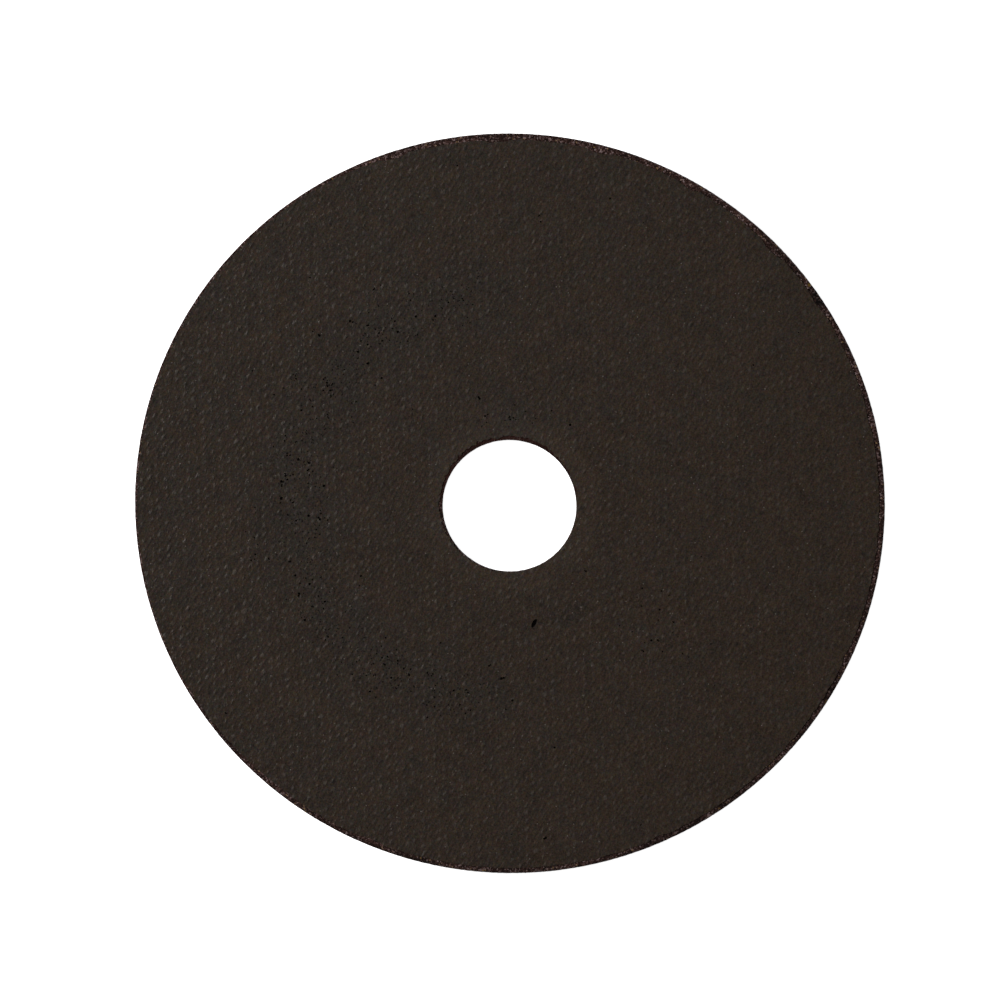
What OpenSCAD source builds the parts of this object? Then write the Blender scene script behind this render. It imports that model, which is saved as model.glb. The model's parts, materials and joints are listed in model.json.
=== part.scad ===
// Thin cut-off wheel for an angle grinder: abrasive grain and resin, pressed and cured as one piece.
// It lies flat on its back facing at Z = 0, with the bore axis on Z.
// Both faces carry a facing with the imprint of a cloth. It stops a little short of the rim and the bore,
// so that a band of bare grain shows there. The front facing was laid slightly off centre.

/* [Wheel] */
// Outside diameter
wheel_d = 125; // [100:0.5:230]
// Thickness over both facings
wheel_t = 1; // [0.8:0.05:3.2]
// Diameter of the bore that sits on the arbor
bore_d = 22.23; // [9.53:0.01:25.4]

/* [Edges] */
// Break on both corners of the rim
rim_break = 0.1; // [0.02:0.01:0.2]
// Break on both corners of the bore
bore_break = 0.05; // [0.02:0.01:0.15]

/* [Facings] */
// Height of each facing above the bare grain
facing_step = 0.06; // [0.06:0.01:0.15]
// Narrowest band of bare grain between the front facing and the break of the rim
rim_margin = 0.25; // [0.1:0.05:2]
// Narrowest band of bare grain between the front facing and the break of the bore
bore_margin = 0.05; // [0.05:0.05:2]
// How far the outline of the front facing lies off centre
outline_shift = 0.4; // [0:0.05:1]
// Direction of that shift, counter-clockwise from +X
outline_shift_angle = 180; // [0:1:360]
// How far the hole of the front facing lies off centre
hole_shift = 0.3; // [0:0.05:1]
// Direction of that shift, counter-clockwise from +X
hole_shift_angle = 127; // [0:1:360]

/* [Weave] */
// Distance between neighbouring threads of the pressed cloth
thread_pitch = 0.82; // [0.6:0.01:2]
// Width of the groove between two threads
groove_w = 0.3; // [0.1:0.05:0.5]
// Depth of the groove between two threads
groove_depth = 0.03; // [0.01:0.005:0.05]
// Distance from the end of a groove to the edge of the front facing, where that is nearest
groove_end = 0.2; // [0.2:0.05:1]
// Direction in which the threads run, counter-clockwise from +X
thread_angle = 57; // [0:1:180]

/* [Pit] */
// Length of the pit in the front face
pit_l = 1.6; // [1.2:0.1:4]
// Width of the pit
pit_w = 0.8; // [0.4:0.1:1]
// Depth of the pit
pit_depth = 0.25; // [0.1:0.05:0.4]
// Distance from the bore axis to the middle of the pit
pit_radius = 20.6; // [18:0.1:44]
// Direction from the bore axis to the pit, counter-clockwise from +X
pit_place_angle = 281; // [0:1:360]
// Direction in which the pit runs, counter-clockwise from +X
pit_run_angle = 60; // [0:1:180]

/* [Flake] */
// Length of the flake lost from the edge of the front facing
flake_l = 4.6; // [2:0.1:8]
// How far the flake reaches in from the edge of the facing
flake_w = 0.55; // [0.2:0.05:1.5]
// Direction from the bore axis to the flake, counter-clockwise from +X
flake_angle = 33.5; // [0:0.5:360]

/* [Hidden] */
$fn = 180;

wheel_r = wheel_d / 2;
bore_r = bore_d / 2;
grain_bottom = facing_step;
grain_top = wheel_t - facing_step;

// The facing keeps its narrowest margins on the sides that its outline and its hole were shifted to
facing_r = wheel_r - rim_break - rim_margin - outline_shift;
facing_hole_r = bore_r + bore_break + bore_margin + hole_shift;

// Ring that the grooves fill: clear of the edges of both facings, so that the bare grain stays whole
groove_r = facing_r - outline_shift - groove_end;
groove_hole_r = facing_hole_r + hole_shift + groove_end;
half_rows = floor((groove_r - groove_w) / thread_pitch + 0.5);

// Radius of the round floor that gives the pit its width at the face and its depth
pit_floor_r = (pow(pit_w / 2, 2) + pow(pit_depth, 2)) / (2 * pit_depth);
pit_straight = pit_l - pit_w;

// Radius of the arc that bites the flake out of the facing's edge
flake_r = (pow(flake_l / 2, 2) + pow(flake_w, 2)) / (2 * flake_w);

wheel_color = [0.18, 0.155, 0.13];

// Point at a distance and a direction from the bore axis
function polar(radius, angle) = [radius * cos(angle), radius * sin(angle)];

// Half the chord that a circle of radius r cuts from a line at distance y from its middle
function half_chord(r, y) = sqrt(max(0, r * r - y * y));

// Bonded grain: the full ring from bore to rim, with broken corners
module grain_ring() {
    rotate_extrude()
        polygon([
            [bore_r + bore_break, grain_bottom],
            [wheel_r - rim_break, grain_bottom],
            [wheel_r, grain_bottom + rim_break],
            [wheel_r, grain_top - rim_break],
            [wheel_r - rim_break, grain_top],
            [bore_r + bore_break, grain_top],
            [bore_r, grain_top - bore_break],
            [bore_r, grain_bottom + bore_break]
        ]);
}

// Outline of the front facing: an off-centre ring with one flake missing from its edge
module front_facing_outline() {
    difference() {
        translate(polar(outline_shift, outline_shift_angle))
            difference() {
                circle(facing_r);
                rotate(flake_angle)
                    translate([facing_r - flake_w + flake_r, 0])
                        circle(flake_r);
            }
        translate(polar(hole_shift, hole_shift_angle))
            circle(facing_hole_r);
    }
}

// Outline of the back facing: the same ring, whole and centred
module back_facing_outline() {
    difference() {
        circle(facing_r);
        circle(facing_hole_r);
    }
}

// One groove between two threads, sunk from the plane Z = 0, from x0 to x1 along the threads
module groove(x0, x1) {
    translate([x0, -groove_w / 2, -groove_depth])
        cube([x1 - x0, groove_w, 2 * groove_depth]);
}

// All grooves of one facing, sunk into its face at face_z
// A groove that would cross the bore is broken in two
module thread_grooves(face_z) {
    translate([0, 0, face_z])
        rotate(thread_angle)
            for (row = [-half_rows : half_rows - 1]) {
                y = (row + 0.5) * thread_pitch;
                outer = half_chord(groove_r, y);
                inner = half_chord(groove_hole_r, y);
                translate([0, y, 0])
                    if (inner > 0)
                        for (turn = [0, 180])
                            rotate(turn) groove(inner, outer);
                    else
                        groove(-outer, outer);
            }
}

// Pit where the facing broke through: a groove with a round floor and round ends
module pit_hollow() {
    translate(concat(polar(pit_radius, pit_place_angle), wheel_t - pit_depth + pit_floor_r))
        rotate([0, 90, pit_run_angle]) {
            cylinder(h = pit_straight, r = pit_floor_r, center = true);
            for (end = [-1, 1])
                translate([0, 0, end * pit_straight / 2])
                    sphere(pit_floor_r);
        }
}

module cut_off_wheel() {
    color(wheel_color)
        difference() {
            union() {
                grain_ring();
                translate([0, 0, wheel_t / 2])
                    linear_extrude(wheel_t / 2)
                        front_facing_outline();
                linear_extrude(wheel_t / 2)
                    back_facing_outline();
            }
            pit_hollow();
            for (face_z = [0, wheel_t])
                thread_grooves(face_z);
        }
}

cut_off_wheel();
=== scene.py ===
# %% [markdown]
# # A cut-off wheel, pressed from grain and resin
# The real wheel is one thin disc: abrasive grain in resin, pressed between two sheets of cloth and cured.
# The cloth leaves its weave on both faces. At the rim and at the bore the grain lies bare.
# This lesson models that disc as one closed mesh, then gives it one finish that tells pressed cloth from
# bare grain by how deep a point lies below the face.

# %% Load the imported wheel
import json
import math
import random

import bpy
import numpy as np
from mathutils import Matrix, Vector


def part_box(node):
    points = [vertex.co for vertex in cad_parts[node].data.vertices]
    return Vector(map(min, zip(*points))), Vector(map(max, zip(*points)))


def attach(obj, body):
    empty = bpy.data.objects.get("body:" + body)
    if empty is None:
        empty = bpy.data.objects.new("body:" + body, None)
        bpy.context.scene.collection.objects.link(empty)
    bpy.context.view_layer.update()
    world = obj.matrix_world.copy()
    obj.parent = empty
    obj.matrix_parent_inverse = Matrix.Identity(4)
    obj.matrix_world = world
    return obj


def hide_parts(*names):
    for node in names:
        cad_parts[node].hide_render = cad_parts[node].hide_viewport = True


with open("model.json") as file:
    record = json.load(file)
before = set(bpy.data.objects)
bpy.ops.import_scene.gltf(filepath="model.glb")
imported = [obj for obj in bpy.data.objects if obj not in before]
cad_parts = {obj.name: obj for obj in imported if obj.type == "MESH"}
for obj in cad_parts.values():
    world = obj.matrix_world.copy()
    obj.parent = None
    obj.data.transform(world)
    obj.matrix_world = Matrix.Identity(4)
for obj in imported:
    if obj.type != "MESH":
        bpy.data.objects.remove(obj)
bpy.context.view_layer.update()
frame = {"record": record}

MM = 0.001
arbor_bore = next(m for m in frame["record"]["mounts"] if m["name"] == "arbor_bore")
wheel_low, wheel_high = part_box("cut_off_wheel")
wheel_r = wheel_high.x
wheel_t = wheel_high.z - wheel_low.z
bore_r = arbor_bore["dims"]["r_mm"] * MM
print(f"wheel {2 * wheel_r / MM:.1f} mm across, {wheel_t / MM:.2f} mm thick, bore {2 * bore_r / MM:.2f} mm")

# %% [markdown]
# ## The camera
# A flat disc is best photographed from far away with a long lens, nearly square to its face.
# The outline is then almost a circle, and a slight lean shows a hair of the rim.
# The lens follows from the distance and from how wide a strip of the table the picture takes in.

# %% Place the camera
camera_distance = 1.4737
camera_lean = math.radians(9.775)
camera_turn = math.radians(9.45)
view_width = 166.74 * MM
aim = Vector((-1.577, 0.967, 0.5)) * MM
sensor_width = 36.0
clip_near = 0.05
clip_far = 60

back = Vector((
    math.sin(camera_lean) * math.sin(camera_turn),
    math.sin(camera_lean) * math.cos(camera_turn),
    math.cos(camera_lean),
))
up = (Vector((0, 1, 0)) - back * back.y).normalized()
right = up.cross(back)

bpy.ops.object.camera_add()
camera = bpy.context.object
camera.name = "long_lens"
turned = Matrix((right, up, back)).transposed().to_4x4()
camera.matrix_world = Matrix.Translation(aim + back * camera_distance) @ turned
camera.data.sensor_width = sensor_width
camera.data.lens = sensor_width * camera_distance / view_width
camera.data.clip_start = clip_near
camera.data.clip_end = clip_far
bpy.context.scene.camera = camera
print(f"lens {camera.data.lens:.0f} mm at {camera_distance:.2f} m")

# %% [markdown]
# ## Small tools
# An operator acts on whatever is selected, so one helper leaves exactly one object selected.
# Another adds a modifier and applies it at once, so that each step ends in a plain mesh.
# A third opens a mesh with just some points selected, as a box select would, so that they can be moved.

# %% Helpers for selecting and shaping
def only(obj):
    """Leave one object selected and active."""
    bpy.ops.object.select_all(action="DESELECT")
    obj.select_set(True)
    bpy.context.view_layer.objects.active = obj


def new_piece(name):
    """Name the object that an operator has just added."""
    piece = bpy.context.object
    piece.name = name
    piece.data.name = name
    return piece


def settle(obj):
    """Write an object's place and turn into its mesh."""
    only(obj)
    bpy.ops.object.transform_apply(location=True, rotation=True, scale=True)


def apply_modifier(obj, kind, **settings):
    """Add a modifier, set it up and apply it."""
    only(obj)
    modifier = obj.modifiers.new(kind.lower(), kind)
    for setting, value in settings.items():
        setattr(modifier, setting, value)
    bpy.ops.object.modifier_apply(modifier=modifier.name)


def combine(obj, other, operation):
    """Cut, join or intersect two closed meshes, and throw the second one away."""
    apply_modifier(obj, "BOOLEAN", object=other, operation=operation, solver="MANIFOLD")
    bpy.data.objects.remove(other)


def points(obj):
    """The places of a mesh's vertices, one row each."""
    flat = np.empty(len(obj.data.vertices) * 3, np.float32)
    obj.data.vertices.foreach_get("co", flat)
    return flat.reshape(-1, 3)


def edit_points(obj, chosen):
    """Open a mesh in edit mode with just the chosen vertices selected."""
    only(obj)
    for parts in (obj.data.polygons, obj.data.edges):
        parts.foreach_set("select", np.zeros(len(parts), bool))
    obj.data.vertices.foreach_set("select", np.asarray(chosen, bool))
    bpy.ops.object.mode_set(mode="EDIT")
    bpy.ops.mesh.select_mode(type="VERT")


def edit_all(obj):
    """Open a mesh in edit mode with everything selected."""
    only(obj)
    bpy.ops.object.mode_set(mode="EDIT")
    bpy.ops.mesh.select_all(action="SELECT")


def close_edit():
    bpy.ops.object.mode_set(mode="OBJECT")


def report(obj):
    """Print how many triangles a mesh has and how high it reaches."""
    obj.data.calc_loop_triangles()
    heights = points(obj)[:, 2] / MM
    count = len(obj.data.loop_triangles)
    print(f"{obj.name}: {count} triangles, z {heights.min():.3f} to {heights.max():.3f} mm")


# %% [markdown]
# ## The pressed cloth
# A plain weave has threads in two directions that pass over and under each other in turn.
# A displacement map could carry it, but threads this fine would need millions of faces.
# A grid that is laid along the threads needs very few: its lines run on the crests, the flanks and the
# gaps of the lengthwise threads, and it has one row for each crossing. At every second crossing the
# lengthwise thread lies on top and stands proud, and at the others it dips under.
# Each kind of point gets its own height, as a share of the weave's depth. Before that the points wander a
# little in the plane, and after it a small shake up and down makes no two crossings alike.

# %% Weave a sheet
warp_pitch = 0.818 * MM
weft_pitch = 1.176 * MM
thread_angle = math.radians(57.61)
weave_depth = 0.08 * MM
crest_over = 0.52
flank_over = 0.36
flank_under = 0.28
crest_under = 0.26
thread_gap = 0.25
crest_shake = 0.19
thread_shake = 0.12
weave_top = (crest_over + crest_shake + thread_shake) * weave_depth
thread_wander = 0.09 * MM
sheet_width = 2.02 * wheel_r
weave_shift = Vector((0.89 * weft_pitch, -0.06 * warp_pitch, 0))


def pressed_cloth(name, across_steps, seed):
    """A grid along the threads with the weave's relief on it, its lowest points near Z = 0."""
    step = warp_pitch / across_steps
    rows = 2 * math.ceil(sheet_width / weft_pitch / 2)
    columns = 2 * math.ceil(sheet_width / step / 2)
    bpy.ops.object.select_all(action="DESELECT")
    bpy.ops.mesh.primitive_grid_add(x_subdivisions=rows, y_subdivisions=columns, size=1)
    cloth = new_piece(name)
    edit_all(cloth)
    bpy.ops.transform.resize(value=(rows * weft_pitch, columns * step, 1))
    close_edit()
    grid = points(cloth)
    crossing = np.rint(grid[:, 0] / weft_pitch).astype(int)
    column = np.rint(grid[:, 1] / step).astype(int)
    thread = np.rint(column / across_steps).astype(int)
    off_crest = np.abs(column - thread * across_steps) / across_steps
    on_top = (crossing + thread) % 2 == 0
    crest = off_crest < 0.1
    flank = (off_crest > 0.2) & (off_crest < 0.4)
    edit_all(cloth)
    bpy.ops.transform.vertex_random(offset=thread_wander, uniform=0, seed=seed + 200)
    bpy.ops.transform.resize(value=(1, 1, 0))
    bpy.ops.mesh.quads_convert_to_tris(quad_method="SHORTEST_DIAGONAL")
    close_edit()
    for chosen, height in (
        (crest & on_top, crest_over),
        (flank & on_top, flank_over),
        (~crest & ~flank, thread_gap),
        (flank & ~on_top, flank_under),
        (crest & ~on_top, crest_under),
    ):
        edit_points(cloth, chosen)
        bpy.ops.transform.translate(value=(0, 0, height * weave_depth))
        close_edit()
    edit_points(cloth, crest & on_top)
    bpy.ops.transform.vertex_random(offset=crest_shake * weave_depth, uniform=0, normal=1, seed=seed)
    close_edit()
    edit_all(cloth)
    bpy.ops.transform.vertex_random(offset=thread_shake * weave_depth, uniform=0, normal=1, seed=seed + 100)
    close_edit()
    only(cloth)
    bpy.ops.transform.translate(value=weave_shift)
    bpy.ops.transform.rotate(value=-thread_angle, orient_axis="Z", center_override=(0, 0, 0))
    settle(cloth)
    return cloth


front_cloth = pressed_cloth("front_cloth", 4, 1)
report(front_cloth)

# %% [markdown]
# ## A body for the cloth
# The cloth is soaked in resin and is one with the wheel below it. A sheet has no inside, though, and the
# tools that cut and join meshes need one. Extruding it down by hand would do, but Solidify is one step.
# It gives the sheet a body that reaches just past the middle of the wheel. The highest crests then lie in
# the plane of the face.

# %% Give the front cloth a body
sheet_body = 0.55 * MM

only(front_cloth)
bpy.ops.transform.translate(value=(0, 0, wheel_t - weave_top))
settle(front_cloth)
apply_modifier(front_cloth, "SOLIDIFY", thickness=sheet_body, offset=-1)
report(front_cloth)

# %% [markdown]
# ## Trimming the cloth
# The cloth was cut a little smaller than the wheel and laid by hand, so its edge is ragged. On one side it
# reaches almost to the rim, and on the other sides flakes have broken out of it.
# Its outline could be drawn as a curve, but a drum whose edge points are shaken has just such an edge and
# is a cutter at once. On the near side the drum's points are pushed out in a few steps, over a shorter
# stretch each time, so that the margin narrows gently.

# %% Shape the ring that the front cloth keeps
rim_break = 0.04 * MM
rim_margin = 0.9 * MM
near_margin = 0.3 * MM
near_angle = math.radians(165)
near_reach = math.radians(62)
near_fade = 3
pushes = 6
ring_sides = 800
ragged = 0.2 * MM
cutter_height = 2.2 * MM


def drum(name, radius, middle, sides, shake, seed):
    """A closed drum with a ragged wall, taller than the wheel."""
    bpy.ops.object.select_all(action="DESELECT")
    bpy.ops.mesh.primitive_cylinder_add(
        vertices=sides, radius=radius, depth=cutter_height, location=middle + Vector((0, 0, wheel_t / 2)))
    cutter = new_piece(name)
    settle(cutter)
    edit_all(cutter)
    bpy.ops.transform.vertex_random(offset=shake, uniform=0, seed=seed)
    close_edit()
    return cutter


front_ring = drum("front_ring", wheel_r - rim_margin, Vector(), ring_sides, ragged, 11)
edge = points(front_ring)
turn = np.arctan2(edge[:, 1], edge[:, 0]) - near_angle
off_near = np.abs((turn + math.pi) % (2 * math.pi) - math.pi)
for push in range(pushes):
    edit_points(front_ring, off_near < near_reach * (1 - push / pushes / near_fade))
    grow = 1 + (rim_margin - near_margin) / wheel_r / pushes
    bpy.ops.transform.resize(value=(grow, grow, 1), center_override=(0, 0, 0))
    close_edit()
report(front_ring)

# %% [markdown]
# ## Flakes
# Here and there a flake of the cloth's edge has broken away. A flake could be cut along a drawn line, but a
# large ragged drum that overlaps the edge a little bites out just such a shallow piece. Each flake has its
# direction in degrees, then its length and its width in millimetres.

# %% Break flakes out of its edge
flake_ragged = 0.2 * MM
flake_sides = 80
flakes = (
    (34.3, 4.6, 0.35), (45, 5.5, 0.5), (61, 4, 0.4), (76, 5, 0.45), (92, 6, 0.5), (108, 4, 0.3),
    (14, 3, 0.2), (-24, 4, 0.25), (-66, 3.5, 0.3), (-112, 5, 0.3),
)
for number, (degrees, length, width) in enumerate(flakes):
    flake_w = width * MM
    flake_r = ((length * MM) ** 2 / 4 + flake_w ** 2) / (2 * flake_w)
    out = Vector((math.cos(math.radians(degrees)), math.sin(math.radians(degrees)), 0))
    flake_middle = out * (wheel_r - rim_margin - flake_w + flake_r)
    flake = drum("flake", flake_r, flake_middle, flake_sides, flake_ragged, 50 + number)
    combine(front_ring, flake, "DIFFERENCE")
combine(front_cloth, front_ring, "INTERSECT")
report(front_cloth)

# %% [markdown]
# ## The hole in the cloth
# The hole was punched off centre, so bare grain shows above the bore and hardly any below it. It could be
# left out of the grid from the start, but then its edge would follow the threads. One ragged drum makes the
# hole, and a second, clean one on the axis takes off what would still reach into the bore.

# %% Punch the hole of the front cloth
bore_margin = 0.36 * MM
hole_shift = Vector((-0.2, 0.34, 0)) * MM
hole_ragged = 0.46 * MM
hole_sides = 150
arbor_gap = 0.03 * MM
arbor_ragged = 0.01 * MM
arbor_sides = 200

front_hole = drum("front_hole", bore_r + bore_margin, hole_shift, hole_sides, hole_ragged, 12)
combine(front_cloth, front_hole, "DIFFERENCE")
arbor = drum("arbor", bore_r + arbor_gap, Vector(), arbor_sides, arbor_ragged, 13)
combine(front_cloth, arbor, "DIFFERENCE")
report(front_cloth)

# %% [markdown]
# ## The back
# The other face has the same cloth, and the wheel lies on it. A mirrored copy would double the triangles,
# so it is woven with fewer points, turned over and trimmed to a plain ring.

# %% Make the back cloth
back_ring_sides = 400
back_hole_sides = 190

back_cloth = pressed_cloth("back_cloth", 1, 2)
apply_modifier(back_cloth, "SOLIDIFY", thickness=sheet_body, offset=-1)
only(back_cloth)
bpy.ops.transform.rotate(value=math.pi, orient_axis="X", center_override=(0, 0, 0))
bpy.ops.transform.translate(value=(0, 0, weave_top))
settle(back_cloth)

back_ring = drum("back_ring", wheel_r - rim_margin, Vector(), back_ring_sides, ragged, 21)
back_hole = drum("back_hole", bore_r + bore_margin, Vector(), back_hole_sides, ragged, 22)
combine(back_cloth, back_ring, "INTERSECT")
combine(back_cloth, back_hole, "DIFFERENCE")
report(back_cloth)

# %% [markdown]
# ## Bare grain
# Where the cloth stops, the grain itself is the surface: small broken stones in resin.
# Scattering thousands of stones would make a heavy mesh that is hard to close. Instead a band is drawn in
# section and spun round the axis, and then every point of it is shaken. On a band this fine the shaken
# facets look like broken stones, and the shake is small enough that the wheel's edge stays round.

# %% Spin the bands of grain
grain_depth = 0.08 * MM
grain_shake = 0.03 * MM
grain_size = 0.35 * MM
wall_rows = 3
band_width = 2.5 * MM


def grain_band(name, inner_r, outer_r, worn_r, worn, seed):
    """A ring with rows of points a grain apart: the worn side's corners are broken, all points shaken."""
    low = wheel_low.z + grain_depth + grain_shake
    high = wheel_high.z - grain_depth - grain_shake
    columns = round((outer_r - inner_r) / grain_size)
    bpy.ops.object.select_all(action="DESELECT")
    bpy.ops.mesh.primitive_grid_add(x_subdivisions=columns, y_subdivisions=wall_rows, size=1)
    band = new_piece(name)
    edit_all(band)
    bpy.ops.transform.resize(value=(outer_r - inner_r, high - low, 1))
    bpy.ops.transform.rotate(value=-math.pi / 2, orient_axis="X", center_override=(0, 0, 0))
    bpy.ops.transform.translate(value=((outer_r + inner_r) / 2, 0, (low + high) / 2))
    bpy.ops.mesh.delete(type="ONLY_FACE")
    bpy.ops.mesh.select_mode(type="VERT")
    close_edit()
    section = points(band)
    hair = 1e-6
    at_wall = np.abs(section[:, 0] - worn_r) < hair
    at_corner = at_wall & ((section[:, 2] < low + hair) | (section[:, 2] > high - hair))
    edit_points(band, at_corner)
    bpy.ops.transform.translate(value=(worn, 0, 0))
    close_edit()
    section = points(band)
    inside = (section[:, 2] > low + hair) & (section[:, 2] < high - hair)
    inside &= (section[:, 0] > inner_r + hair) & (section[:, 0] < outer_r - hair)
    edit_points(band, inside)
    bpy.ops.mesh.delete(type="VERT")
    bpy.ops.mesh.select_all(action="SELECT")
    turns = round(2 * math.pi * worn_r / grain_size)
    bpy.ops.mesh.spin(steps=turns, angle=2 * math.pi, center=(0, 0, 0), axis=(0, 0, 1))
    bpy.ops.mesh.select_all(action="SELECT")
    bpy.ops.mesh.remove_doubles(threshold=hair / 10)
    bpy.ops.mesh.normals_make_consistent(inside=False)
    bpy.ops.mesh.select_all(action="SELECT")
    bpy.ops.transform.vertex_random(offset=grain_shake, uniform=0.5, seed=seed)
    close_edit()
    report(band)
    return band


rim_wall = wheel_r + 1.25 * grain_shake
bore_wall = bore_r + grain_shake
rim_band = grain_band("rim_band", rim_wall - band_width, rim_wall, rim_wall, -rim_break, 31)
bore_band = grain_band("bore_band", bore_wall, bore_wall + band_width, bore_wall, rim_break / 2, 32)

# %% [markdown]
# ## One wheel
# Press and oven make one solid of cloth, resin and grain. Laying the pieces inside each other would look
# the same from outside, but a union leaves one closed skin with nothing hidden in it, like the real wheel.

# %% Join everything into one wheel
wheel = rim_band
wheel.name = "pressed_wheel"
wheel.data.name = "pressed_wheel"
for other in (bore_band, back_cloth, front_cloth):
    combine(wheel, other, "UNION")
report(wheel)

# %% [markdown]
# ## Pits
# Gas from the curing resin left pin-prick pits, most of them in a crescent on one half of the face, and a
# few larger ones where a grain came out. A dark dot in the finish would do from far away, but a real pit
# catches shadow from every side. The larger ones have their own places, each with a radius, in millimetres.
# The rest are drawn by lot: in small clusters along the crescent, in three looser groups, and some anywhere.
# A group has its count, its middle and its spread, in millimetres too, and so are the radii that are drawn.
# A second layer takes those that touch a neighbour, so that the pits within one layer stay apart and its
# cutter stays a clean mesh.

# %% Scatter the pits
random.seed(7)
pit_gap = 0.06 * MM
pit_off_bore = 1.5 * MM
pit_off_rim = 2.5 * MM
smallest_pit = 0.1
pit_growth = 0.045
large_pits = (
    (-38.05, 1.14, 0.34), (-35.19, 7.75, 0.3), (-38.04, 4.02, 0.27), (-23.47, 23.99, 0.26),
    (-1.33, -29.23, 0.3), (0.51, -32.96, 0.26), (-35.76, -11.89, 0.26), (23.74, -22.63, 0.24),
    (49.87, 36.65, 0.42),
)
crescent_middle = Vector((-1.6, 1.3, 0)) * MM
crescent_r = 34 * MM
crescent_spread = 3.2 * MM
crescent_from = 95
crescent_to = 262
cluster_count = 115
cluster_most = 5
cluster_spread = 0.8
pit_groups = (
    (40, (-9.5, -31.5), (3.5, 2.5)),
    (22, (25.5, -20), (4.5, 4)),
    (18, (0.5, 14.5), (4, 1)),
)
lone_pits = 45
doubled_share = 0.25

pit_layers = ([], [])
for right_mm, up_mm, radius_mm in large_pits:
    pit_layers[0].append((Vector((right_mm, up_mm, 0)) * MM, radius_mm * MM))


def add_pit(middle, radius):
    """Keep a pit if it lies on the cloth, in the first layer where it is clear of the other pits."""
    if not bore_r + pit_off_bore < middle.length < wheel_r - pit_off_rim:
        return
    for layer in pit_layers:
        if all((middle - other).length > radius + other_r + pit_gap for other, other_r in layer):
            layer.append((middle, radius))
            return


def pit_radius():
    """A radius drawn by lot: most pits are small, a few are up to three times as wide."""
    return (smallest_pit + pit_growth * min(random.expovariate(1), 4)) * MM


def direction(angle):
    return Vector((math.cos(angle), math.sin(angle), 0))


def scatter(count, middle, spread_x, spread_y):
    """Drop a number of pits round a place."""
    for _ in range(count):
        off = Vector((random.gauss(0, spread_x), random.gauss(0, spread_y), 0)) * MM
        add_pit(middle + off, pit_radius())


for _ in range(cluster_count):
    angle = math.radians(random.uniform(crescent_from, crescent_to))
    reach = random.gauss(crescent_r, crescent_spread)
    cluster_middle = crescent_middle + direction(angle) * reach
    scatter(random.randint(1, cluster_most), cluster_middle, cluster_spread, cluster_spread)
for count, (right_mm, up_mm), (spread_x, spread_y) in pit_groups:
    scatter(count, Vector((right_mm, up_mm, 0)) * MM, spread_x, spread_y)
for _ in range(lone_pits):
    angle = random.uniform(0, 2 * math.pi)
    reach = math.sqrt(random.uniform(bore_r ** 2, wheel_r ** 2))
    add_pit(direction(angle) * reach, pit_radius())
for pit_middle, radius in list(pit_layers[0]):
    if random.random() < doubled_share:
        angle = random.uniform(0, 2 * math.pi)
        add_pit(pit_middle + direction(angle) * radius * 1.3, 0.8 * radius)
print([len(layer) for layer in pit_layers], "pits")

# %% [markdown]
# ## Cutting the pits
# A round cutter for each of some six hundred pits would use up the mesh's triangles. A cone with five sides
# is enough for a pit of a few tenths of a millimetre, and shaking its corners makes it look broken. The one
# long pit, where a whole piece of the face came away, is a squeezed ball, and a smaller one that is turned
# makes its floor uneven. Each layer is cut in one go.

# %% Cut them out of the face
long_pit_place = Vector((4.2, -19.85, 0)) * MM
long_pit_size = Vector((0.85, 0.42, 0.5)) * MM
long_pit_angle = math.radians(60)
pit_sides = 5
pit_taper = 0.85
pit_depth = 0.28 * MM
pit_height = 0.4 * MM
pit_shake = 0.045 * MM
second_shrink = 0.4


def start_cutter(name, size, angle, middle):
    """A long lump to begin a cutter with, its middle in the plane of the face, left open in edit mode."""
    bpy.ops.object.select_all(action="DESELECT")
    bpy.ops.mesh.primitive_ico_sphere_add(subdivisions=2, radius=1)
    cutter = new_piece(name)
    edit_all(cutter)
    bpy.ops.transform.resize(value=size)
    bpy.ops.transform.rotate(value=-angle, orient_axis="Z", center_override=(0, 0, 0))
    bpy.ops.transform.translate(value=middle + Vector((0, 0, wheel_t)))
    return cutter


for number, layer in enumerate(pit_layers):
    lump_size = long_pit_size * (1 - second_shrink * number)
    pit_cutter = start_cutter("pit_cutter", lump_size, long_pit_angle + number, long_pit_place)
    for pit_middle, radius in layer:
        bpy.ops.mesh.select_all(action="DESELECT")
        bpy.ops.mesh.primitive_cone_add(
            vertices=pit_sides, radius1=pit_taper * radius, radius2=radius, depth=pit_height,
            location=pit_middle + Vector((0, 0, wheel_t + pit_height / 2 - pit_depth)))
    bpy.ops.mesh.select_all(action="SELECT")
    bpy.ops.transform.vertex_random(offset=pit_shake, uniform=0, seed=41 + number)
    close_edit()
    combine(wheel, pit_cutter, "DIFFERENCE")
report(wheel)

# %% [markdown]
# ## A closed skin
# A wheel with an open edge somewhere would print badly and light wrongly. Selecting what is not manifold
# finds such edges without looking. Smooth shading by angle then rounds the threads and keeps grain sharp.

# %% Check that the wheel is closed
smooth_angle = math.radians(30)

only(wheel)
bpy.ops.object.mode_set(mode="EDIT")
bpy.ops.mesh.select_mode(type="VERT")
bpy.ops.mesh.select_all(action="DESELECT")
bpy.ops.mesh.select_non_manifold()
close_edit()
print("points on open edges:", sum(v.select for v in wheel.data.vertices))
only(wheel)
bpy.ops.object.shade_smooth_by_angle(angle=smooth_angle)

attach(wheel, "root")
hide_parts("cut_off_wheel")

# %% [markdown]
# ## Shader maths in plain Python
# A finish like this needs a good deal of arithmetic between nodes. A small class wraps a socket and turns
# Python's operators into Math nodes, so that a mask reads as a formula. One method adds any other node.

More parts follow.
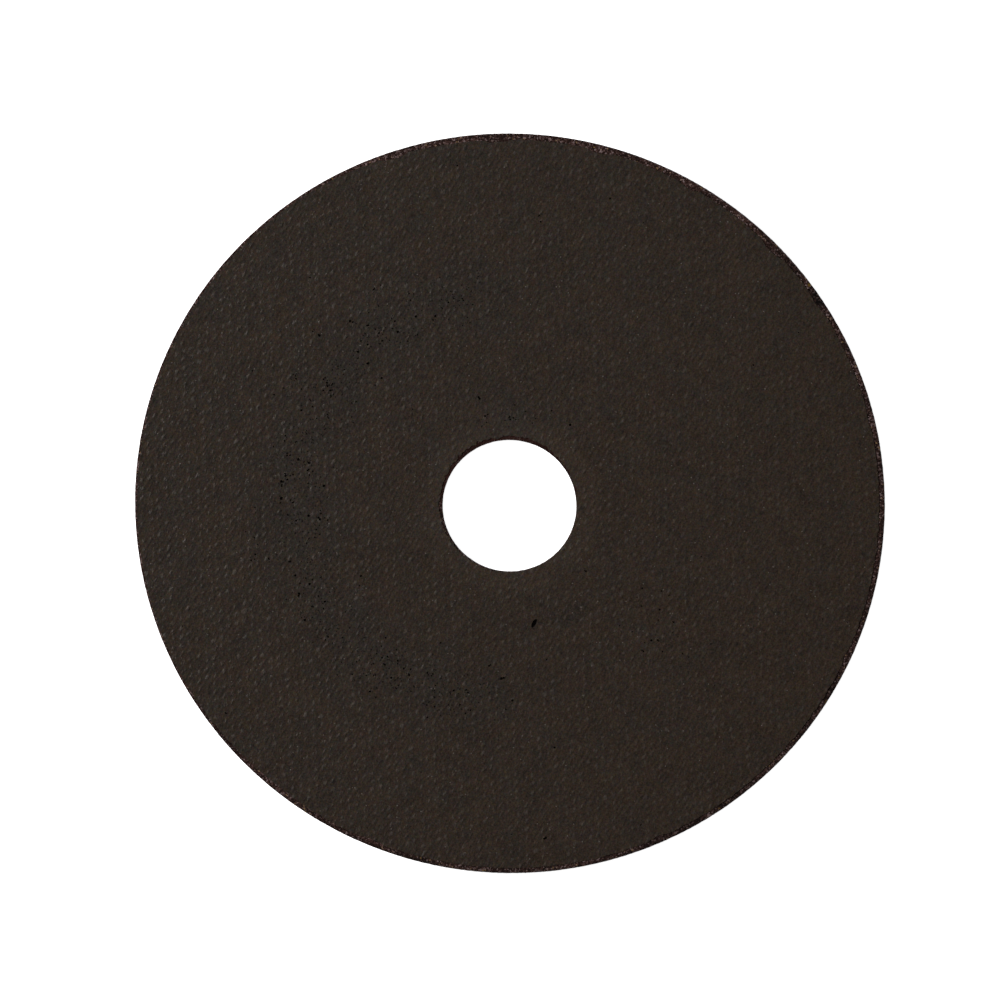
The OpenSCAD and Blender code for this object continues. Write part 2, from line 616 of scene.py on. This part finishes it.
# %% Wrap the node tree
class Value:
    """One number in a node tree. Python's operators on it add Math nodes."""

    def __init__(self, socket):
        self.socket = socket

    def math(self, operation, first, second):
        node = self.socket.id_data.nodes.new("ShaderNodeMath")
        node.operation = operation
        for slot, value in zip(node.inputs, (first, second)):
            feed(slot, value)
        return Value(node.outputs[0])

    def __add__(self, other):
        return self.math("ADD", self, other)

    def __sub__(self, other):
        return self.math("SUBTRACT", self, other)

    def __rsub__(self, other):
        return self.math("SUBTRACT", other, self)

    def __mul__(self, other):
        return self.math("MULTIPLY", self, other)

    __radd__ = __add__
    __rmul__ = __mul__

    def least(self, other):
        return self.math("MINIMUM", self, other)

    def most(self, other):
        return self.math("MAXIMUM", self, other)

    def power(self, other):
        return self.math("POWER", self, other)

    def size(self):
        return self.math("ABSOLUTE", self, 0)

    def wave(self):
        """A cosine wave with its crests on the even whole numbers."""
        return self.math("COSINE", self * math.pi, 0)


def feed(slot, value):
    """Link a value into a socket, or write a number or colour on it."""
    if isinstance(value, Value):
        slot.id_data.links.new(value.socket, slot)
    else:
        slot.default_value = value


class Finish:
    """A material and its nodes."""

    def __init__(self, name):
        self.material = bpy.data.materials.new(name)
        self.material.use_nodes = True
        self.nodes = self.material.node_tree.nodes
        self.shader = self.nodes["Principled BSDF"]

    def node(self, kind, settings, sockets, result=0):
        """Add a node, set it up, feed its sockets and return one of its results."""
        node = self.nodes.new(kind)
        for setting, value in settings.items():
            if setting == "stops":
                self.set_stops(node.color_ramp, value)
            else:
                setattr(node, setting, value)
        for slot, value in sockets.items():
            feed(node.inputs[slot], value)
        return Value(node.outputs[result])

    def set_stops(self, ramp, stops):
        while len(ramp.elements) < len(stops):
            ramp.elements.new(1)
        for element, (position, colour) in zip(ramp.elements, stops):
            element.position = position
            element.color = (*colour, 1)

    def blend(self, factor, first, second, mode="MIX"):
        """Mix two colours."""
        colours = {0: factor}
        for slot, colour in ((6, first), (7, second)):
            colours[slot] = colour if isinstance(colour, Value) else (*colour, 1)
        return self.node("ShaderNodeMix", {"data_type": "RGBA", "blend_type": mode}, colours, 2)

    def scaled(self, vector, amount):
        """A colour or a place times a number."""
        return self.node("ShaderNodeVectorMath", {"operation": "SCALE"}, {0: vector, "Scale": amount})

    def step(self, value, low, high):
        """A smooth step from 0 at low to 1 at high."""
        sockets = {"Value": value, "From Min": low, "From Max": high}
        return self.node("ShaderNodeMapRange", {"interpolation_type": "SMOOTHSTEP"}, sockets)

    def noise(self, place, scale, detail, result=0):
        """Soft noise with so many lumps to a millimetre: its value, or with result 1 its colour."""
        sockets = {"Vector": place, "Scale": scale, "Detail": detail}
        return self.node("ShaderNodeTexNoise", {}, sockets, result)


# %% [markdown]
# ## The finish: where a point lies
# All patterns read the wheel's own coordinates in millimetres. The depth below the nearer face tells cloth
# from grain: the weave is shallower than the step down to the bare grain, and pits go deeper still. Two
# materials could be given to two sets of faces instead, but the cuts left no clean line between them.

# %% Coordinates and masks
pressed = Finish("pressed_grain_and_cloth")
own_place = pressed.node("ShaderNodeTexCoord", {}, {}, "Object")
place = pressed.scaled(own_place, 1 / MM)
x = pressed.node("ShaderNodeSeparateXYZ", {}, {0: place}, "X")
y = pressed.node("ShaderNodeSeparateXYZ", {}, {0: place}, "Y")
z = pressed.node("ShaderNodeSeparateXYZ", {}, {0: place}, "Z")

depth = z.least(wheel_t / MM - z)
cloth_limit = 0.07
cloth_blur = 0.008
cloth = pressed.step(depth, cloth_limit + cloth_blur, cloth_limit)
from_axis = pressed.node("ShaderNodeVectorMath", {"operation": "LENGTH"}, {0: place}, "Value")


def spot(middle, inner, outer):
    """A round mask on the face, full within one distance of its middle and gone at another."""
    off_x = x - middle[0]
    off_y = y - middle[1]
    return pressed.step((off_x * off_x + off_y * off_y).power(0.5), outer, inner)


print("cloth down to", cloth_limit, "mm below either face")

# %% [markdown]
# ## Colours of the cloth
# The resin that soaked through the cloth cured to a dark brown. It wanders towards slate in patches, most of
# all along the pitted crescent and above the bore. A picture of a worn face could be laid over it, but noise
# at several sizes goes on without a seam, and each size can be tuned on its own.

# %% Let the resin wander from brown to slate
brown = (0.0278, 0.0179, 0.0117)
slate = (0.0204, 0.0168, 0.0139)
slate_middle = (0, 13.5)
crescent_core = 2
crescent_fade = 9
crescent_end = 6

patches = pressed.noise(place, 0.33, 2)
mottle = pressed.noise(place, 0.9, 1)
flecks = pressed.noise(place, 2.8, 1)
from_crescent = pressed.node("ShaderNodeVectorMath", {"operation": "DISTANCE"}, {
    0: place, 1: crescent_middle / MM}, "Value")
in_crescent = pressed.step((from_crescent - crescent_r / MM).size(), crescent_fade, crescent_core)
in_crescent = in_crescent * pressed.step(x, crescent_end, -crescent_end)

# Painted sheen: the -x and +y terms turn the resin towards slate on the upper left, the lamp's side.
drift = 0.43 - 0.0022 * x + 0.0016 * y + 0.22 * in_crescent + 0.28 * spot(slate_middle, 2, 7)
drift = drift + 1.2 * (patches - 0.5) + 0.9 * (mottle - 0.5) + 2.4 * (flecks - 0.5)
cloth_colour = pressed.blend(drift, brown, slate)
tint = pressed.noise(place, 3.2, 1, 1)
cloth_colour = pressed.blend(0.0066, cloth_colour, tint, "LINEAR_LIGHT")
print("resin between", brown, "and", slate)

# %% [markdown]
# ## Grit, and painted light and shade
# Fine grit shows through everywhere, so the resin is never one even tone. Along the threads run streaks,
# noise that is stretched nearly along them. Painted strokes would do for one view, but the same noise also
# serves the relief further down: a low streak is painted darker and a high one lighter, as painted shade and
# light on the relief. The resin is also painted a little lighter towards the upper left, the lamp's side.
# Round the bore, where the flange sits, the resin is a little lighter.

# %% Darken and lighten the resin
streak_turn = math.radians(18)
streak_stretch = 1.8
flange_core = 13
flange_fade = 16.5

threads = pressed.node("ShaderNodeMapping", {"vector_type": "TEXTURE"}, {
    "Vector": place, "Rotation": (0, 0, thread_angle + streak_turn), "Scale": (streak_stretch, 1, 1)})
streaks = pressed.noise(threads, 2.5, 2)
grit = pressed.noise(place, 4.6, 1)
clouds = pressed.noise(place, 0.4, 2)

by_bore = pressed.step(from_axis, flange_fade, flange_core)
# Painted light: the -x and +y terms make the resin lighter towards the upper left, where the lamp stands.
shade = 1 - 0.0005 * x + 0.0005 * y + 0.2 * by_bore
# Painted shade and light: low streaks darker, high streaks lighter; grit and clouds are the resin's own tone.
shade = shade + 0.72 * (streaks - 0.5) + 1.6 * (grit - 0.5) + 0.45 * (clouds - 0.5)
cloth_colour = pressed.scaled(cloth_colour, shade)
print("streaks run at", round(math.degrees(thread_angle + streak_turn), 1), "degrees")

# %% [markdown]
# ## Painted highlights on the crossings
# Where a thread lies on top, the crossing is painted paler, a painted highlight, and given a little shine.
# The heights of the mesh could drive that, but it has one point to a crossing, and the colour would show its
# triangles. Two cosine waves with the pitches of the threads peak at the same crossings and stay smooth. A
# slow wander loosens their lattice, and the streaks break it up, because only some of the crossings are
# highlit. The painted highlight is stronger towards the left, where the lamp stands.

# %% Paint highlights on the crossings
highlight_grey = (0.062, 0.053, 0.047)
highlight_share = 0.28
wander = 0.48

loose = pressed.noise(place, 0.9, 1, 1)
loose_place = pressed.node("ShaderNodeVectorMath", {"operation": "MULTIPLY_ADD"}, {
    0: loose, 1: (wander, wander, 0), 2: place})
half_wander = Vector((wander / 2, wander / 2, 0))
lattice_shift = Matrix.Rotation(thread_angle, 3, "Z") @ weave_shift / MM + half_wander
crossings = pressed.node("ShaderNodeMapping", {"vector_type": "TEXTURE"}, {
    "Vector": loose_place, "Location": lattice_shift, "Rotation": (0, 0, thread_angle),
    "Scale": (weft_pitch / MM, warp_pitch / MM, 1)})
along = pressed.node("ShaderNodeSeparateXYZ", {}, {0: crossings}, "X")
across = pressed.node("ShaderNodeSeparateXYZ", {}, {0: crossings}, "Y")

highlit = pressed.step(along.wave() * across.wave(), 0, 0.7) * pressed.step(streaks, 0.47, 0.68)
# Painted highlight: stronger towards the left, on the lamp's side.
highlit = highlit * (1 - 0.006 * x)
# Painted highlight: the crossings where a thread lies on top are painted a paler grey.
cloth_colour = pressed.blend(highlight_share * highlit, cloth_colour, highlight_grey)
print("rubbed crossings every", round(weft_pitch / MM, 2), "by", round(warp_pitch / MM, 2), "mm")

# %% [markdown]
# ## Specks, smudges and pricks
# A few grains have worked up through the cloth, and they are painted as pale specks, which stand both for the
# pale grains and for their glint, a painted highlight. Here and there the resin is thin and a dark smudge
# shows. Along the crescent there are pricks that are too fine to cut; they are painted as dark dots, which
# stand both for the tiny pits and for the shade inside them. Scattered pieces could make them, but they have
# no height to speak of. They are cells of a flat Voronoi pattern, of which only a share is kept.

# %% Scatter specks, smudges and pricks
glint_speck_colour = (0.09, 0.078, 0.069)
smudge_colour = (0.006, 0.006, 0.0058)
prick_shade_colour = (0.004, 0.0035, 0.003)


def dots(scale, share, size):
    """A mask of soft round dots: a share of the cells of a flat pattern, so many cells to a millimetre."""
    sockets = {"Vector": place, "Scale": scale}
    away = pressed.node("ShaderNodeTexVoronoi", {"voronoi_dimensions": "2D"}, sockets, "Distance")
    cell = pressed.node("ShaderNodeTexVoronoi", {"voronoi_dimensions": "2D"}, sockets, "Color")
    draw = pressed.node("ShaderNodeSeparateColor", {}, {0: cell}, "Green")
    kept = pressed.step(draw, 1 - share, 1 - 0.5 * share)
    return kept * pressed.step(away, size * scale, 0.4 * size * scale)


specks = dots(1.0, 0.06, 0.13)
smudges = dots(0.13, 0.35, 0.5)
pricks = dots(1.3, 0.36, 0.19) * in_crescent
# Painted highlight in part: pale specks for grains that glint.
cloth_colour = pressed.blend(specks, cloth_colour, glint_speck_colour)
cloth_colour = pressed.blend(0.5 * smudges, cloth_colour, smudge_colour)
# Painted shade in part: dark dots for tiny pits and the shade inside them.
cloth_colour = pressed.blend(0.9 * pricks, cloth_colour, prick_shade_colour)
print("the cloth takes", len(pressed.nodes), "shader nodes so far")

# %% [markdown]
# ## Colours of the grain
# Bare grain is a crowd of dark stones, red-brown and black, with a few grey-pink or ochre ones. The grey-pink
# stones are painted pale for the stones and their glint, partly a painted highlight. Noise would blur them
# into each other. Voronoi cells keep each stone in one colour, which a ramp draws by lot. The stones are
# painted darker on the side away from the lamp and at the very edge, most of all at the edge on that side, as
# painted shade, and they are redder round the bore.

# %% Colour the stones
stones_per_mm = 4.5
bore_red = (0.0125, 0.0034, 0.0024)

stones = pressed.node("ShaderNodeTexVoronoi", {}, {"Vector": place, "Scale": stones_per_mm}, "Color")
stone_kind = pressed.node("ShaderNodeSeparateColor", {}, {0: stones}, "Red")
# Painted highlight in part: the two pale grey-pink stops stand for pale stones and their glint.
grain_colour = pressed.node("ShaderNodeValToRGB", {"stops": (
    (0.0, (0.0046, 0.0025, 0.0019)),
    (0.4, (0.0127, 0.0055, 0.0042)),
    (0.7, (0.032, 0.0155, 0.0125)),
    (0.86, (0.061, 0.037, 0.0345)),
    (0.97, (0.12, 0.086, 0.085)),
    (1.0, (0.11, 0.066, 0.022)),
)}, {0: stone_kind})

weathered = pressed.step(pressed.noise(place, 0.14, 2), 0.3, 0.6)
away_from_lamp = pressed.step(0.6 * x - 0.8 * y, 0, 40)
at_edge = pressed.step(from_axis, wheel_r / MM - 0.55, wheel_r / MM - 0.1)
# Painted shade: darker towards the lower right, away from the lamp; the weathered noise is the stones' own
# tone.
grain_shade = 0.62 + 0.5 * weathered - 0.0025 * x + 0.002 * y
# Painted shade: darker at the very edge, most on the side away from the lamp.
grain_shade = grain_shade * (1.2 - at_edge * (0.05 + 0.27 * away_from_lamp))
at_bore = pressed.step(from_axis, bore_r / MM + 6, bore_r / MM + 4) * pressed.step(y, -3, 4)
grain_colour = pressed.blend(0.8 * at_bore, grain_colour, bore_red)
grain_colour = pressed.scaled(grain_colour, grain_shade)
print("stones of about", round(1 / stones_per_mm, 2), "mm")

# %% [markdown]
# ## A burnt stretch and one ochre stone
# One stretch of the rim, where the largest flake is gone, is burnt black, and a single ochre stone sits
# beside it. The pits are painted near-black inside, as painted shade. Separate materials could carry each of
# these, but the wheel is one piece with one finish, so they are round masks and a ring in the same finish.

# %% Burn the rim, set the stone and paint shade into the pits
burnt_place = (51.3, 35.4)
burnt_black = (0.0016, 0.0009, 0.0007)
ochre_place = (49.75, 37.45)
ochre = (0.08, 0.048, 0.009)
pit_shade_black = (0.0112, 0.0084, 0.0069)

burnt = spot(burnt_place, 1.0, 2.6) * pressed.step(pressed.noise(place, 1.7, 2), 0.38, 0.5)
grain_colour = pressed.blend(0.9 * burnt, grain_colour, burnt_black)
grain_colour = pressed.blend(spot(ochre_place, 0.15, 0.38), grain_colour, ochre)

# Painted shade: below the cloth, away from the grain at the bore and the rim, the pit walls are painted
# near-black.
off_bore = pressed.step(from_axis, bore_r / MM + 1.3, bore_r / MM + 1.5)
off_rim = pressed.step(from_axis, wheel_r / MM - 2.2, wheel_r / MM - 2.4)
sunk_colour = pressed.blend(off_bore * off_rim, grain_colour, pit_shade_black)
feed(pressed.shader.inputs["Base Color"], pressed.blend(cloth, sunk_colour, cloth_colour))
print("burnt at", burnt_place, "and ochre at", ochre_place, "mm")

# %% [markdown]
# ## Relief and gloss
# Threads, lumps of resin and grit are finer than the mesh, so the finest relief is bump. It runs along the
# same streaks as the colour. The mesh already has the weave, and the bump repeats a part of its depth, so
# that the threads read as clearly as on the real face. A finer mesh would do without that, at many times
# the size. Grain is dull. The resin is satin, and the highlit crossings have a thin shine.

# %% Give the wheel its surface
streak_height = 0.036
lump_height = 0.031
grit_height = 0.014
crossing_height = 0.02
relief_gain = 0.4
crossing_shine = 0.3

lumps = pressed.noise(place, 2.3, 2)
relief = streak_height * streaks + lump_height * lumps + grit_height * grit + crossing_height * highlit
relief = relief - relief_gain * depth.least(cloth_limit)
relief = relief * (0.97 - 0.006 * x)
bump = pressed.node("ShaderNodeBump", {}, {"Strength": 1, "Distance": MM, "Height": relief})
feed(pressed.shader.inputs["Normal"], bump)

satin = 0.5 + 0.25 * (pressed.noise(place, 1.1, 2) - 0.5)
feed(pressed.shader.inputs["Roughness"], satin.most(1 - cloth))
feed(pressed.shader.inputs["Coat Weight"], crossing_shine * highlit * cloth)
pressed.shader.inputs["Specular IOR Level"].default_value = 0.1
pressed.shader.inputs["Coat Roughness"].default_value = 0.38

wheel.data.materials.clear()
wheel.data.materials.append(pressed.material)
print("the finish takes", len(pressed.nodes), "shader nodes")

# %% [markdown]
# ## The table
# The wheel lies on a white table without a visible edge. More light would whiten the table, but it would wash
# out the wheel too. Instead the camera and all reflections see the table glow nearly plain white, while every
# other ray meets an ordinary pale surface, which still takes the wheel's shadow.

# %% Set the table
table_width = 30
table_white = 0.8
table_glow = 0.9

bpy.ops.object.select_all(action="DESELECT")
bpy.ops.mesh.primitive_plane_add(size=table_width, location=(0, 0, wheel_low.z))
table = new_piece("table")
settle(table)
table_top = Finish("white_table")
ray = {name: table_top.node("ShaderNodeLightPath", {}, {}, name) for name in (
    "Is Camera Ray", "Is Glossy Ray", "Is Transmission Ray")}
seen = ray["Is Camera Ray"].most(ray["Is Glossy Ray"]).most(ray["Is Transmission Ray"])
table_top.shader.inputs["Base Color"].default_value = (table_white, table_white, table_white, 1)
table_top.shader.inputs["Specular IOR Level"].default_value = 0
table_top.shader.inputs["Emission Strength"].default_value = 1
feed(table_top.shader.inputs["Emission Color"], table_glow * seen)
table.data.materials.append(table_top.material)
print("table", table_width, "m wide at", wheel_low.z, "m")

# %% [markdown]
# ## The light
# One soft lamp stands to the upper left, across the threads and fairly low, so that their crests catch it and
# the pits fill with shade. A sun would draw hard edges, and a sky alone would flatten the weave. So the lamp
# does most of the work, and a dim even sky fills the rest.

# %% Light it
sky_strength = 0.2
lamp_place = Vector((-1.583, 0.64, 0.833))
lamp_size = 0.5
lamp_power = 64

sky = bpy.data.worlds.new("sky")
sky.use_nodes = True
sky.node_tree.nodes["Background"].inputs["Color"].default_value = (1, 1, 1, 1)
sky.node_tree.nodes["Background"].inputs["Strength"].default_value = sky_strength
bpy.context.scene.world = sky

bpy.ops.object.light_add(type="AREA", location=lamp_place)
lamp = bpy.context.object
lamp.name = "soft_lamp"
lamp.data.size = lamp_size
lamp.data.energy = lamp_power
lamp.rotation_euler = (-lamp_place).to_track_quat("-Z", "Y").to_euler()
bpy.context.scene.view_settings.view_transform = "Standard"
print("lamp", round(lamp_place.length, 2), "m away,", lamp_power, "W")
